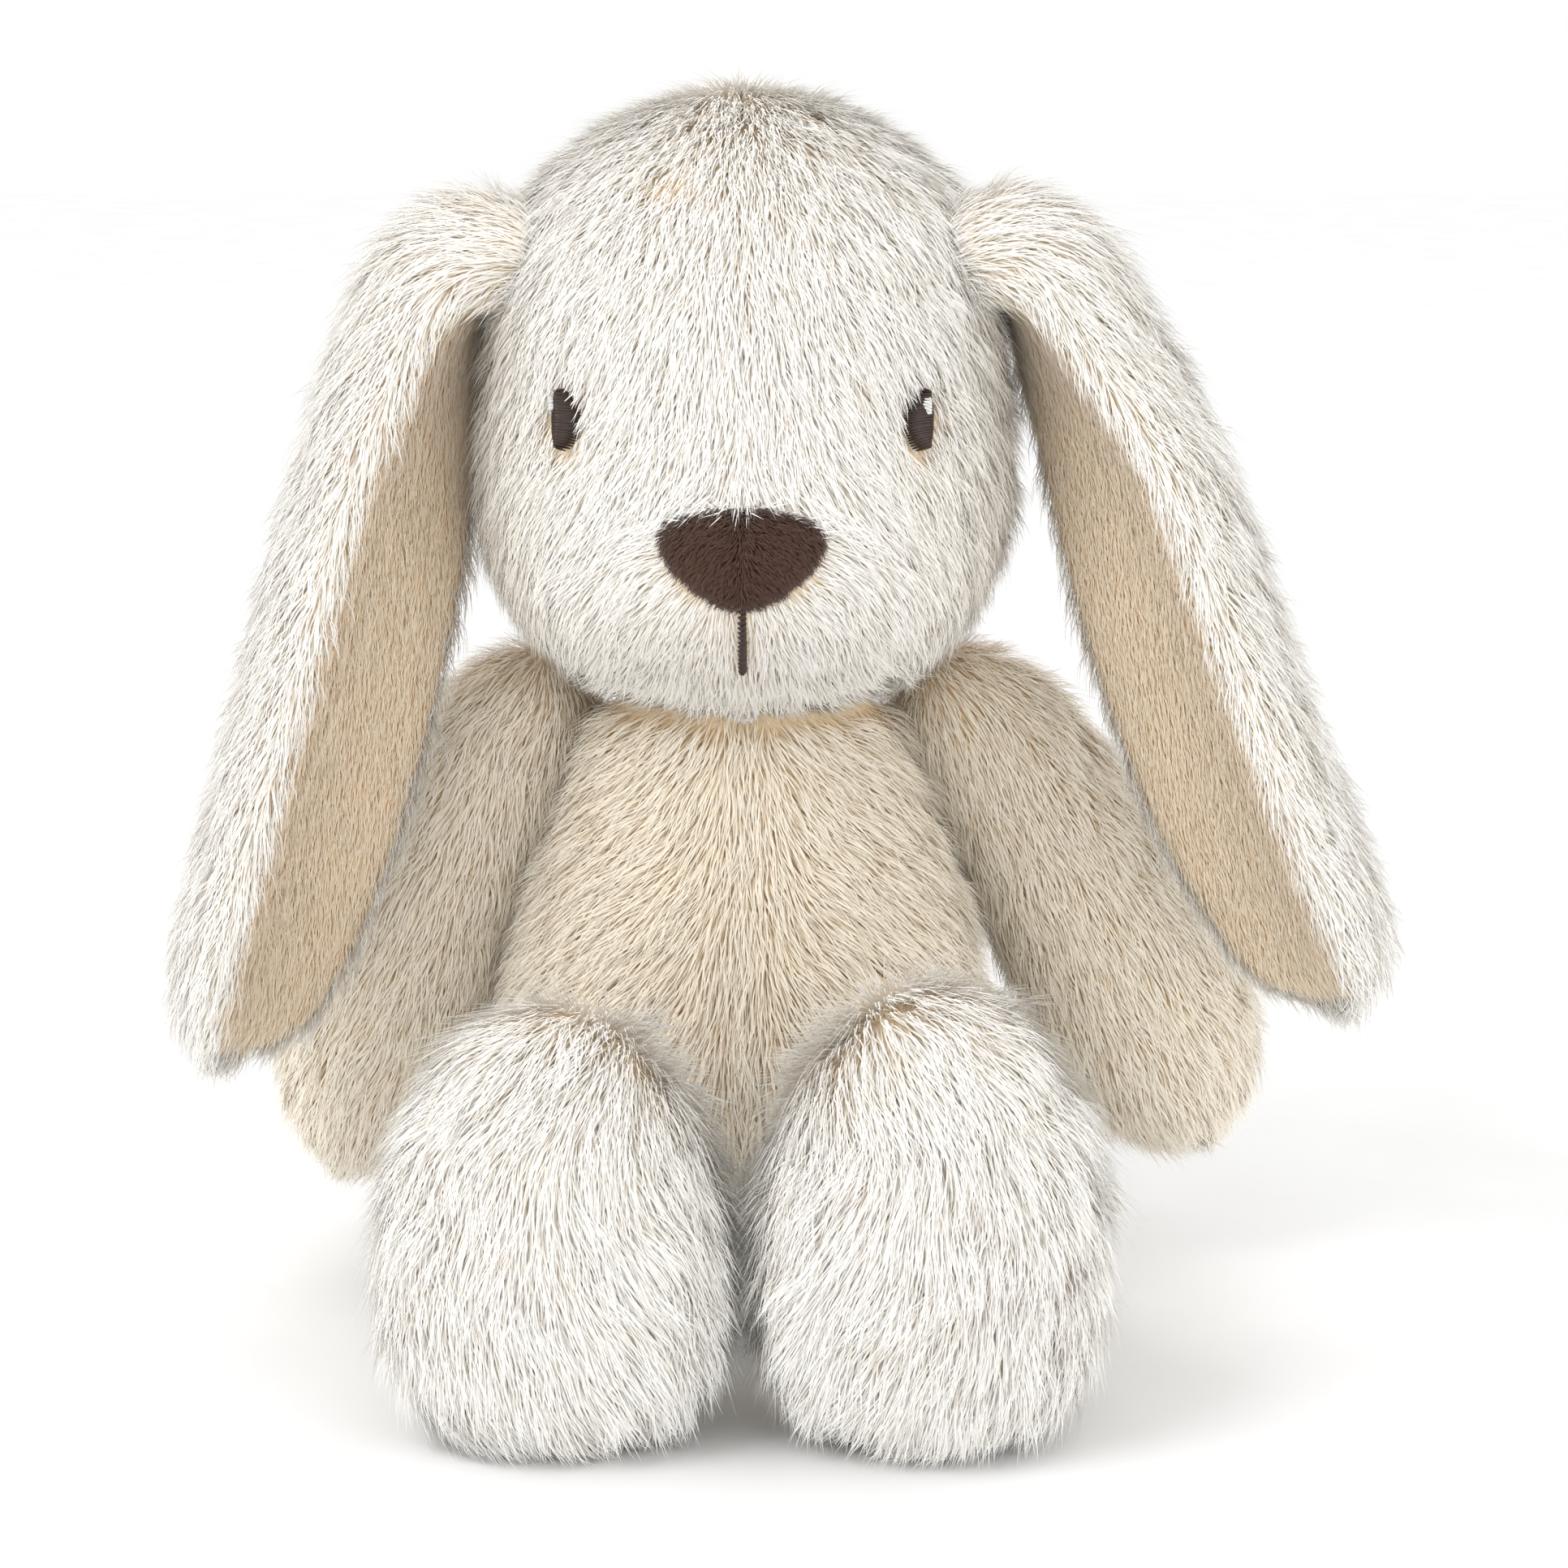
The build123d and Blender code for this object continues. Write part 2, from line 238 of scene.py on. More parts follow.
def thread_material(name, code, shine):
    """Rayon embroidery thread: smooth twisted filament, so it has a soft lengthwise gloss; its twist is drawn as
    bands of painted shade.
    """
    made, tree = plain_material(name)
    if tree is None:
        return made
    place = add(tree, "ShaderNodeTexCoord")
    twist = add(tree, "ShaderNodeTexWave", {"Scale": 900.0, "Distortion": 1.5, "bands_direction": "DIAGONAL"},
                {"Vector": place.outputs["Object"]})
    base = linear(code)
    # painted shade: diagonal bands at 0.6 of the thread's colour stand for the shade in the twist
    twist_shade = tuple(0.6 * c for c in base[:3]) + (1.0,)
    mixed = add(tree, "ShaderNodeMix", {"data_type": "RGBA", 6: twist_shade, 7: base}, {0: twist.outputs["Fac"]})
    shader = add(tree, "ShaderNodeBsdfPrincipled", {"Roughness": shine, "Specular IOR Level": 0.5},
                 {"Base Color": mixed.outputs[2]})
    finish_material(tree, shader)
    return made


# ---- mesh helpers -------------------------------------------------------------------------
def new_object(name, verts, faces, smooth=True):
    """A mesh object at the origin from points in millimetres."""
    mesh = bpy.data.meshes.new(name)
    mesh.from_pydata([tuple(v) for v in np.asarray(verts, float) * MM], [], faces)
    mesh.validate()
    made = bpy.data.objects.new(name, mesh)
    bpy.context.scene.collection.objects.link(made)
    if smooth:
        mesh.shade_smooth()
    return made


def curve_through(rows, count):
    """Points on a smooth line through rows of numbers."""
    rows = np.asarray(rows, float)
    padded = np.vstack([2 * rows[0] - rows[1], rows, 2 * rows[-1] - rows[-2]])
    made = []
    for t in np.linspace(0, len(rows) - 1, count):
        i = min(int(t), len(rows) - 2)
        f = t - i
        p0, p1, p2, p3 = padded[i:i + 4]
        made.append(0.5 * (2 * p1 + (p2 - p0) * f + (2 * p0 - 5 * p1 + 4 * p2 - p3) * f ** 2
                           + (3 * p1 - p0 - 3 * p2 + p3) * f ** 3))
    return np.array(made)


def tube_faces(rings, around):
    """Quads of a closed tube of rings whose two ends are single points."""
    faces = []
    for k in range(rings - 1):
        for j in range(around):
            a, b = k * around + j, k * around + (j + 1) % around
            faces.append((a, b, b + around, a + around))
    low, high = rings * around, rings * around + 1
    last = (rings - 1) * around
    for j in range(around):
        faces.append((low, (j + 1) % around, j))
        faces.append((high, last + j, last + (j + 1) % around))
    return faces


def stacked(name, rows, centre=(0.0, 0.0), around=56, count=44):
    """A closed body of level rings: rows are height, half width, depth in front and depth behind."""
    line = curve_through(rows, count)
    line = line[(line[:, 1] > 0.4)]
    angle = np.arange(around) * 2 * math.pi / around
    verts = []
    for z, wide, front, back in line:
        depth = np.where(np.sin(angle) > 0, back, front)
        verts.extend(zip(centre[0] + wide * np.cos(angle), centre[1] + depth * np.sin(angle),
                         np.full(around, z)))
    verts.append((centre[0], centre[1], rows[0][0]))
    verts.append((centre[0], centre[1], rows[-1][0]))
    return new_object(name, verts, tube_faces(len(line), around))


def limb(name, rows, flat=1.0, around=40, count=40):
    """A closed limb along a line: rows are x, y, z and radius."""
    line = curve_through(rows, count)
    line[:, 3] = np.maximum(line[:, 3], 0.3)
    heading = np.gradient(line[:, :3], axis=0)
    heading /= np.linalg.norm(heading, axis=1)[:, None]
    angle = np.arange(around) * 2 * math.pi / around
    verts = []
    for point, t in zip(line, heading):
        side = np.cross(t, (0.0, 1.0, 0.001) if abs(t[1]) < 0.8 else (0.0, 0.0, 1.0))
        side /= np.linalg.norm(side)
        other = np.cross(t, side)
        for a in angle:
            verts.append(point[:3] + point[3] * (math.cos(a) * side + flat * math.sin(a) * other))
    verts.append(line[0, :3])
    verts.append(line[-1, :3])
    return new_object(name, verts, tube_faces(count, around))


def evaluated(source, name):
    """A plain mesh object of what source shows with its modifiers; source is removed."""
    bpy.context.view_layer.update()
    graph = bpy.context.evaluated_depsgraph_get()
    mesh = bpy.data.meshes.new_from_object(source.evaluated_get(graph), depsgraph=graph)
    bpy.data.objects.remove(source)
    old = bpy.data.objects.get(name)
    if old:
        old.name = name + "_old"
    made = bpy.data.objects.new(name, mesh)
    bpy.context.scene.collection.objects.link(made)
    return made


def joined_skin(name, sources, voxel=0.0025, smooth=8):
    """One closed skin round several overlapping bodies."""
    verts, faces = [], []
    for source in sources:
        start = len(verts)
        verts.extend(v.co / MM for v in source.data.vertices)
        faces.extend(tuple(start + i for i in p.vertices) for p in source.data.polygons)
        bpy.data.objects.remove(source)
    whole = new_object(name + "_parts", verts, faces)
    recalculate(whole)
    remesh = whole.modifiers.new("skin", "REMESH")
    remesh.mode = "VOXEL"
    remesh.voxel_size = voxel
    soften = whole.modifiers.new("soften", "SMOOTH")
    soften.factor = 0.5
    soften.iterations = smooth
    made = evaluated(whole, name)
    made.data.shade_smooth()
    return made


def recalculate(thing):
    mesh = bmesh.new()
    mesh.from_mesh(thing.data)
    bmesh.ops.remove_doubles(mesh, verts=mesh.verts, dist=1e-6)
    bmesh.ops.recalc_face_normals(mesh, faces=mesh.faces)
    mesh.to_mesh(thing.data)
    mesh.free()


def points_of(thing):
    points = np.empty(len(thing.data.vertices) * 3, np.float32)
    thing.data.vertices.foreach_get("co", points)
    return points.reshape(-1, 3).astype(float) / MM


def set_points(thing, points):
    thing.data.vertices.foreach_set("co", (points * MM).astype(np.float32).ravel())
    thing.data.update()


def normals_of(thing):
    found = np.empty(len(thing.data.vertices) * 3, np.float32)
    thing.data.vertex_normals.foreach_get("vector", found)
    return found.reshape(-1, 3).astype(float)


def mark(thing, name, values):
    """Writes a number or a direction on each vertex of a skin."""
    kind = "FLOAT_VECTOR" if np.ndim(values) == 2 else "FLOAT"
    found = thing.data.attributes.get(name) or thing.data.attributes.new(name, kind, "POINT")
    key = "vector" if kind == "FLOAT_VECTOR" else "value"
    found.data.foreach_set(key, np.asarray(values, np.float32).ravel())


def nearest(known, points):
    """The number of the known point nearest to each point."""
    tree = KDTree(len(known))
    for number, spot in enumerate(known):
        tree.insert(spot, number)
    tree.balance()
    return np.array([tree.find(spot)[1] for spot in points])


def hill(points, centre, reach):
    """1 at the centre, falling away smoothly; reach is the width in each direction."""
    away = (points - np.asarray(centre, float)) / np.asarray(reach, float)
    return np.exp(-np.sum(away ** 2, axis=1))


def shrunk(source, name, depth, material):
    """The filling under a skin: the same shape, drawn in by depth."""
    points = points_of(source) - normals_of(source) * depth
    faces = [tuple(p.vertices) for p in source.data.polygons]
    core = new_object(name, points, faces)
    core.data.materials.append(material)
    return core


# ---- pile ---------------------------------------------------------------------------------
def strand_object(bends):
    """One tuft, a unit long: a narrow ribbon that rises from the root and lies over. +Z is its lie, +Y is up."""
    name = f"strand_{len(bends)}"
    found = bpy.data.objects.get(name)
    if found:
        return found
    verts, along, across = [], [], []
    for z, y, wide in bends[:-1]:
        for s in (-0.5, 0.5):
            verts.append((s * wide, y, z))
            along.append(z)
            across.append(s)
    verts.append((0.0, bends[-1][1], bends[-1][0]))
    along.append(1.0)
    across.append(0.0)
    faces = [(2 * i, 2 * i + 2, 2 * i + 3, 2 * i + 1) for i in range(len(bends) - 2)]
    last = 2 * (len(bends) - 2)
    faces.append((last, last + 2, last + 1))
    mesh = bpy.data.meshes.new(name)
    mesh.from_pydata(verts, [], faces)
    made = bpy.data.objects.new(name, mesh)
    mark(made, "along", along)
    mark(made, "across", across)
    return made


SHORT_BENDS = [(0.0, 0.0, 1.0), (0.5, 0.34, 0.85), (1.0, 0.38, 0.0)]


def pile_tree():
    """Geometry nodes that plant tufts on a skin, combed along its comb attribute."""
    found = bpy.data.node_groups.get("pile")
    if found:
        return found
    tree = bpy.data.node_groups.new("pile", "GeometryNodeTree")
    tree.interface.new_socket("Geometry", in_out="INPUT", socket_type="NodeSocketGeometry")
    for name, kind in (("Strand", "Object"), ("Material", "Material"), ("Density", "Float"),
                       ("Length", "Float"),
                       ("Width", "Float"), ("Lift", "Float"), ("Mess", "Float"), ("Clump", "Float"),
                       ("Clump Scale", "Float"), ("Seed", "Int")):
        tree.interface.new_socket(name, in_out="INPUT", socket_type="NodeSocket" + kind)
    tree.interface.new_socket("Geometry", in_out="OUTPUT", socket_type="NodeSocketGeometry")
    group = add(tree, "NodeGroupInput").outputs

    attribute = {name: add(tree, "GeometryNodeInputNamedAttribute",
                           {"data_type": kind, "Name": name}).outputs[0]
                 for name,
                 kind in (("cover", "FLOAT"), ("comb", "FLOAT_VECTOR"), ("lie_normal", "FLOAT_VECTOR"),
                                    ("pile", "FLOAT"), ("shade", "FLOAT"), ("across", "FLOAT"),
                                    ("along", "FLOAT"))}
    seeds = [add(tree, "ShaderNodeMath", {"operation": "ADD", 1: shift}, {0: group["Seed"]}).outputs[0]
             for shift in (1, 2, 3)]
    density = add(tree, "ShaderNodeMath", {"operation": "MULTIPLY"},
                  {0: group["Density"], 1: attribute["cover"]})
    plant = add(tree, "GeometryNodeDistributePointsOnFaces", {"distribute_method": "RANDOM"},
                {"Mesh": group["Geometry"], "Density": density.outputs[0], "Seed": group["Seed"]})
    keep = add(tree, "GeometryNodeStoreNamedAttribute",
               {"data_type": "FLOAT_VECTOR", "domain": "POINT", "Name": "lie_normal"},
               {"Geometry": plant.outputs["Points"], "Value": plant.outputs["Normal"]})
    # which way each tuft lies: the comb, bent by a slow swirl and a little by chance
    place = add(tree, "GeometryNodeInputPosition").outputs[0]
    swirl = add(tree, "ShaderNodeTexNoise", {"Detail": 1.0}, {"Vector": place, "Scale": group["Clump Scale"]})
    centred = add(tree, "ShaderNodeVectorMath", {"operation": "SUBTRACT", 1: (0.5, 0.5, 0.5)},
                  {0: swirl.outputs["Color"]})
    clump = add(tree, "ShaderNodeVectorMath", {"operation": "SCALE"},
                {0: centred.outputs[0], "Scale": group["Clump"]})
    chance = add(tree, "FunctionNodeRandomValue",
                 {"data_type": "FLOAT_VECTOR", 0: (-1, -1, -1), 1: (1, 1, 1)},
                 {"Seed": seeds[0]})
    wild = add(tree, "ShaderNodeVectorMath", {"operation": "SCALE"},
               {0: chance.outputs[0], "Scale": group["Mess"]})
    bent = add(tree, "ShaderNodeVectorMath", {"operation": "ADD"},
               {0: attribute["comb"], 1: clump.outputs[0]})
    lie = add(tree, "ShaderNodeVectorMath", {"operation": "ADD"}, {0: bent.outputs[0], 1: wild.outputs[0]})
    first = add(tree, "FunctionNodeAlignRotationToVector", {"axis": "Z"}, {"Vector": lie.outputs[0]})
    second = add(tree, "FunctionNodeAlignRotationToVector", {"axis": "Y", "pivot_axis": "Z"},
                 {"Rotation": first.outputs[0], "Vector": attribute["lie_normal"]})
    # how long it is and how far it stands off the cloth
    uneven = add(tree, "FunctionNodeRandomValue", {"data_type": "FLOAT", 2: 0.65, 3: 1.2}, {"Seed": seeds[1]})
    reach = add(tree, "ShaderNodeMath", {"operation": "MULTIPLY"}, {0: group["Length"], 1: attribute["pile"]})
    size = add(tree, "ShaderNodeMath", {"operation": "MULTIPLY"}, {0: reach.outputs[0], 1: uneven.outputs[1]})
    raised = add(tree, "ShaderNodeMath", {"operation": "MULTIPLY"}, {0: size.outputs[0], 1: group["Lift"]})
    loft = add(tree, "ShaderNodeMath", {"operation": "ADD", 1: 0.45}, {0: swirl.outputs["Fac"]})
    height = add(tree, "ShaderNodeMath", {"operation": "MULTIPLY"},
                 {0: raised.outputs[0], 1: loft.outputs[0]})
    stretch = add(tree, "ShaderNodeCombineXYZ",
                  links={"X": group["Width"], "Y": height.outputs[0], "Z": size.outputs[0]})
    strand = add(tree, "GeometryNodeObjectInfo", links={"Object": group["Strand"]})
    grown = add(tree, "GeometryNodeInstanceOnPoints",
                links={"Points": keep.outputs[0], "Instance": strand.outputs["Geometry"],
                       "Rotation": second.outputs[0], "Scale": stretch.outputs[0]})
    # its own tint, from broad patches and chance
    patch = add(tree, "ShaderNodeTexNoise", {"Detail": 2.0, "Scale": 70.0}, {"Vector": place})
    broad = add(tree, "ShaderNodeMath", {"operation": "MULTIPLY", 1: 0.7}, {0: patch.outputs["Fac"]})
    single = add(tree, "FunctionNodeRandomValue", {"data_type": "FLOAT", 2: 0.0, 3: 0.3}, {"Seed": seeds[2]})
    tint = add(tree, "ShaderNodeMath", {"operation": "ADD"}, {0: broad.outputs[0], 1: single.outputs[1]})
    shade = add(tree, "GeometryNodeStoreNamedAttribute",
                {"data_type": "FLOAT", "domain": "INSTANCE", "Name": "shade"},
                {"Geometry": grown.outputs[0], "Value": tint.outputs[0]})
    real = add(tree, "GeometryNodeRealizeInstances", links={"Geometry": shade.outputs[0]})
    # the map: its tint across and root to tip upwards
    across = add(tree, "ShaderNodeMath", {"operation": "MULTIPLY", 1: 0.02}, {0: attribute["across"]})
    inset = add(tree, "ShaderNodeMath", {"operation": "MULTIPLY_ADD", 1: 0.9, 2: 0.05},
                {0: attribute["shade"]})
    u = add(tree, "ShaderNodeMath", {"operation": "ADD"}, {0: inset.outputs[0], 1: across.outputs[0]})
    v = add(tree, "ShaderNodeMath", {"operation": "MULTIPLY_ADD", 1: 0.96, 2: 0.02}, {0: attribute["along"]})
    uv = add(tree, "ShaderNodeCombineXYZ", links={"X": u.outputs[0], "Y": v.outputs[0]})
    chart = add(tree, "GeometryNodeStoreNamedAttribute",
                {"data_type": "FLOAT2", "domain": "CORNER", "Name": "OFBake"},
                {"Geometry": real.outputs[0], "Value": uv.outputs[0]})
    dress = add(tree, "GeometryNodeSetMaterial",
                links={"Geometry": chart.outputs[0], "Material": group["Material"]})
    add(tree, "NodeGroupOutput", links={"Geometry": dress.outputs[0]})
    return tree


def grow(name, skin, material, size, cover, dense=1.0, lift=1.0, mess=0.28, clump=1.4, scale=160.0, wide=1.0,
         bends=SHORT_BENDS):
    """The pile on the covered part of a skin, as one plain mesh lit like the surface it grows from."""
    pile = bpy.context.scene.bunny_pile
    source = skin.copy()
    source.data = skin.data.copy()
    bpy.context.scene.collection.objects.link(source)
    mark(source, "cover", cover)
    nodes = source.modifiers.new("pile", "NODES")
    nodes.node_group = pile_tree()
    values = {"Strand": strand_object(bends), "Material": material, "Density": pile.density * dense,
              "Length": size,
              "Width": pile.fibre_width * wide, "Lift": lift, "Mess": mess, "Clump": clump,
              "Clump Scale": scale,
              "Seed": pile.seed + 10 * len(bpy.data.objects)}
    for item in nodes.node_group.interface.items_tree:
        if item.in_out == "INPUT" and item.name in values:
            nodes[item.identifier] = values[item.name]
    made = evaluated(source, name)
    mesh = made.data
    count = len(mesh.vertices)
    fibres = points_of(made)
    fibres[:, 2] = np.maximum(fibres[:, 2], PRESSED)
    set_points(made, fibres)
    skinward = np.empty(count * 3, np.float32)
    mesh.attributes["lie_normal"].data.foreach_get("vector", skinward)
    own = np.empty(count * 3, np.float32)
    mesh.vertex_normals.foreach_get("vector", own)
    mixed = SKIN_SHARE * skinward.reshape(-1, 3) + (1 - SKIN_SHARE) * own.reshape(-1, 3)
    mixed /= np.linalg.norm(mixed, axis=1)[:, None] + 1e-9
    for spare in ("lie_normal", "shade", "along", "across", "comb", "pile", "cover"):
        found = mesh.attributes.get(spare)
        if found:
            mesh.attributes.remove(found)
    mesh.shade_smooth()
    mesh.normals_split_custom_set_from_vertices(mixed.tolist())
    return made


def skin_material():
    """Knitted polyester backing, seen only where the pile parts: matt and finely looped, coloured warm tan as the
    painted shade of the partings.
    """
    return cloth_material("plush_backing_knit", "#ecd3ab", "#f8e8cf", 0.8)


def fibre_material():
    """Carded polyester filling: white matt fluff."""
    return cloth_material("polyester_filling_fluff", "#e8e8e6", "#ffffff", 2.0)


def cream():
    colours = bpy.context.scene.bunny_colours
    return pile_material("cream_plush_long_pile", colours.pile_root_shade, colours.pile_tip, 0.5, 0.75)


def shaded_cream():
    """The same plush on the body and arms, painted warmer and darker all over as the shade under the chin and between
    the limbs.
    """
    colours = bpy.context.scene.bunny_colours
    return pile_material("cream_plush_body_pile_painted_shade", colours.body_root_shade, colours.body_tip_shade, 0.5, 0.75)


def declare(piece, body, nodes=()):
    """Rides a finished piece on its body and hides the CAD nodes it stands for."""
    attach(piece, body)
    if nodes:
        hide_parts(*nodes)


def stuff(skin, body, filling, held, panels, depth=1.5):
    """Puts the filling in a finished skin, rides both on the body and hides the CAD nodes they stand for."""
    core = shrunk(skin, filling, depth, fibre_material())
    declare(core, body, held)
    skin.data.materials.append(skin_material())
    declare(skin, body, panels)


def tangent(skin, wish):
    """A wished direction laid flat on the skin at each vertex."""
    normals = normals_of(skin)
    flat = wish - normals * np.sum(wish * normals, axis=1)[:, None]
    return flat / (np.linalg.norm(flat, axis=1)[:, None] + 1e-6)


def unit(vectors):
    return vectors / (np.linalg.norm(vectors, axis=1)[:, None] + 1e-6)


# ---- head ---------------------------------------------------------------------------------
def head_skin():
    """A dome on full cheeks with the muzzle standing out."""
    shares = [(0.010, 0, 0, 0), (0.018, 14, 13, 13), (0.05, 27.5, 26, 24), (0.12, 40, 38, 34),
              (0.23, 49.5, 47, 42),
              (0.36, 52.3, 50, 46), (0.52, 51, 48, 47), (0.67, 48, 44, 45), (0.80, 42.5, 36, 39),
              (0.89, 31, 26, 29), (0.94, 19, 16, 18), (0.965, 8, 7, 7), (0.97, 0, 0, 0)]
    rows = [(HEAD_LOW[2] + s * HEAD_TALL, a, f, b) for s, a, f, b in shares]
    skin = joined_skin("head_skin", [stacked("head_rings", rows)], 0.002, 6)
    p = points_of(skin)
    front = np.clip(-p[:, 1] / 20, 0, 1)
    muzzle = np.exp(-((p[:, 0] / 25) ** 2 + ((p[:, 2] - NOSE_Z + 8) / 19) ** 2)) * front
    p[:, 1] -= 9.5 * muzzle
    for sign in SIDES.values():
        dent = hill(p, (sign * EYE_X, -40, EYE_Z), (9, 14, 11))
        p += np.outer(dent, (-sign * 0.6, 2.0, 0))
        cheek = hill(p, (sign * 34, -30, NOSE_Z - 16), (16, 18, 15))
        p += np.outer(cheek, (sign * 1.5, -2.2, -0.5))
    set_points(skin, p)
    return skin


def head_comb(skin):
    """Down the forehead, outwards over the cheeks and away from the nose."""
    p = points_of(skin)
    wish = np.stack([0.55 * np.clip(p[:, 0] / 30, -1, 1), np.full(len(p), -0.3), np.full(len(p), -0.95)],
                    axis=1)
    nose = p - np.array((0, NOSE_LOW[1], NOSE_Z + 2))
    near = np.exp(-(nose[:, 0] ** 2 + nose[:, 2] ** 2) / 22 ** 2) * np.clip(-p[:, 1] / 20, 0, 1)
    near *= np.clip(1 - nose[:, 2] / 10, 0.25, 1)
    wish = wish * (1 - near)[:, None] + unit(nose * (1, 0.2, 1)) * (2.0 * near)[:, None]
    mark(skin, "comb", tangent(skin, wish))


def face_gaps(points):
    """Where no pile grows because a patch or stitches are sewn on: 0 there and 1 elsewhere."""
    front = points[:, 1] < -15
    x, z = points[:, 0], points[:, 2]
    gap = np.ones(len(points))
    nose = (np.abs(x) / 13.0) ** 2.4 + (np.abs(z - NOSE_Z + 0.6) / 7.6) ** 2.4 < 1
    gap[nose & front] = 0
    for sign in SIDES.values():
        gap[(((x - sign * EYE_X) / 3.9) ** 2 + ((z - EYE_Z + EYE_DROP - 1.2) / 7.6) ** 2 < 1) & front] = 0
    line = (np.abs(x) < 1.9) & (z < MOUTH_HIGH[2] + 1) & (z > MOUTH_LOW[2])
    gap[line & front] = 0
    return gap


class BUNNY_OT_head(bpy.types.Operator):
    """Makes the head: skin, pile and filling"""
    bl_idname = "bunny.head"
    bl_label = "Head"

    def execute(self, context):
        pile = context.scene.bunny_pile
        skin = head_skin()
        head_comb(skin)
        p = points_of(skin)
        x, z = p[:, 0], p[:, 2]
        short = 1 - 0.45 * np.exp(-((x / 24) ** 2 + ((z - NOSE_Z + 6) / 18) ** 2)) * (p[:, 1] < 0)
        for sign in SIDES.values():
            short -= 0.42 * hill(p, (sign * EYE_X, -44, EYE_Z), (7, 30, 9))
        mark(skin, "pile", short)
        gaps = face_gaps(p)
        seam = 1 - 0.5 * ((np.abs(x) < 0.8) & ((z > HEAD_HIGH[2] - 22) & (z < HEAD_HIGH[2] - 9)))
        for spot in ((-13, 232, 6.0, 2.6), (-27, 224, 2.0, 1.6)):
            seam[((x - spot[0]) / spot[2]) ** 2 + ((z - spot[1]) / spot[3]) ** 2 < 1] *= 0.25
        face = (p[:, 1] < 4) * gaps * seam
        for side, sign in SIDES.items():
            half = face * ((x * sign) >= 0)
            fur = grow(f"head_face_pile_{side}", skin, cream(), pile.head_length, half, dense=1.25, lift=0.85,
                       clump=1.0)
            declare(fur, "head")
            half = (p[:, 1] >= 4) * ((x * sign) >= 0) * seam
            fur = grow(f"head_back_pile_{side}", skin, cream(), pile.head_length, half, dense=1.15, lift=0.85,
                       clump=1.0)
            declare(fur, "head")
        stuff(skin, "head", "head_filling", ["head_stuffing"],
              ["head_face_panel", "head_chin_panel", "head_back_left_panel", "head_back_right_panel"])
        return {"FINISHED"}


# ---- face ---------------------------------------------------------------------------------
def facing(skin):
    """A function that gives the point and normal of a skin seen from the front at x and z."""
    tree = BVHTree.FromPolygons([v.co.copy() for v in skin.data.vertices],
                                [tuple(f.vertices) for f in skin.data.polygons])

    def find(x, z):
        point, normal, _, _ = tree.ray_cast(Vector((x * MM, -0.3, z * MM)), Vector((0, 1, 0)))
        if point is None:
            raise RuntimeError("the face has no surface there")
        return np.array(point) / MM, np.array(normal)
    return find


def stitch(verts, faces, points, normals, radius, sides=6):
    """Adds one thread that follows points and dives in at both ends."""
    start = len(verts)
    points = np.asarray(points)
    heading = np.gradient(points, axis=0)
    count = len(points)
    for k, (point, t, n) in enumerate(zip(points, heading, normals)):
        t = t / np.linalg.norm(t)
        side = np.cross(t, n)
        side /= np.linalg.norm(side)
        thin = radius * (0.45 if k in (0, count - 1) else 1.0)
        for j in range(sides):
            a = 2 * math.pi * j / sides
            verts.append(point + thin * (math.cos(a) * side + math.sin(a) * n))
    for k in range(count - 1):
        for j in range(sides):
            a, b = start + k * sides + j, start + k * sides + (j + 1) % sides
            faces.append((a, b, b + sides, a + sides))
    faces.append(tuple(start + j for j in reversed(range(sides))))
    faces.append(tuple(start + (count - 1) * sides + j for j in range(sides)))


def satin(name, find, centre, half_wide, half_tall, pitch, raised, radius):
    """A filled almond of satin stitches laid side by side across it."""
    verts, faces = [], []
    rows = int(2 * half_tall / pitch)
    for i in range(rows):
        level = -half_tall + (i + 0.5) * pitch
        reach = half_wide * (1 - (abs(level) / half_tall) ** 2) ** 0.7
        points, normals = [], []
        for s in np.linspace(-1, 1, 7):
            spot, normal = find(centre[0] + s * reach, centre[1] + level + 0.25 * s)
            points.append(spot + normal * (raised * (1 - 0.75 * s * s)))
            normals.append(normal)
        stitch(verts, faces, points, normals, radius)
    made = new_object(name, verts, faces)
    recalculate(made)
    return made


# half width of the nose, as a share, at levels from its bottom (-1) to its top (1)
NOSE_LEVELS = (-1.0, -0.92, -0.8, -0.55, -0.3, -0.05, 0.2, 0.53, 0.75, 0.9, 1.0)
NOSE_REACH = (0.12, 0.24, 0.38, 0.60, 0.78, 0.90, 0.97, 1.0, 0.93, 0.78, 0.55)


def nose_grid(find, rows=21, columns=31):
    """The nose patch: a rounded triangle, padded in the middle and creased along its centre seam."""
    half, tall = (NOSE_HIGH[0] - NOSE_LOW[0]) / 2, (NOSE_HIGH[2] - NOSE_LOW[2]) / 2
    verts, faces = [], []
    for i in range(rows):
        v = 1 - 2 * i / (rows - 1)
        reach = half * float(np.interp(v, NOSE_LEVELS, NOSE_REACH))
        for j in range(columns):
            u = 2 * j / (columns - 1) - 1
            sag = 0.16 * u * u * max(v, 0.0)
            spot, normal = find(u * reach, NOSE_Z + tall * (v - sag))
            edge = max(1 - u * u, 0) ** 0.5 * max(1 - v * v, 0) ** 0.5
            crease = 0.9 * math.exp(-(u / 0.09) ** 2)
            verts.append(spot + np.array((0, -1, 0)) * (1.6 + 3.0 * edge - crease * edge))
    for i in range(rows - 1):
        for j in range(columns - 1):
            a = i * columns + j
            faces.append((a, a + columns, a + columns + 1, a + 1))
    return verts, faces


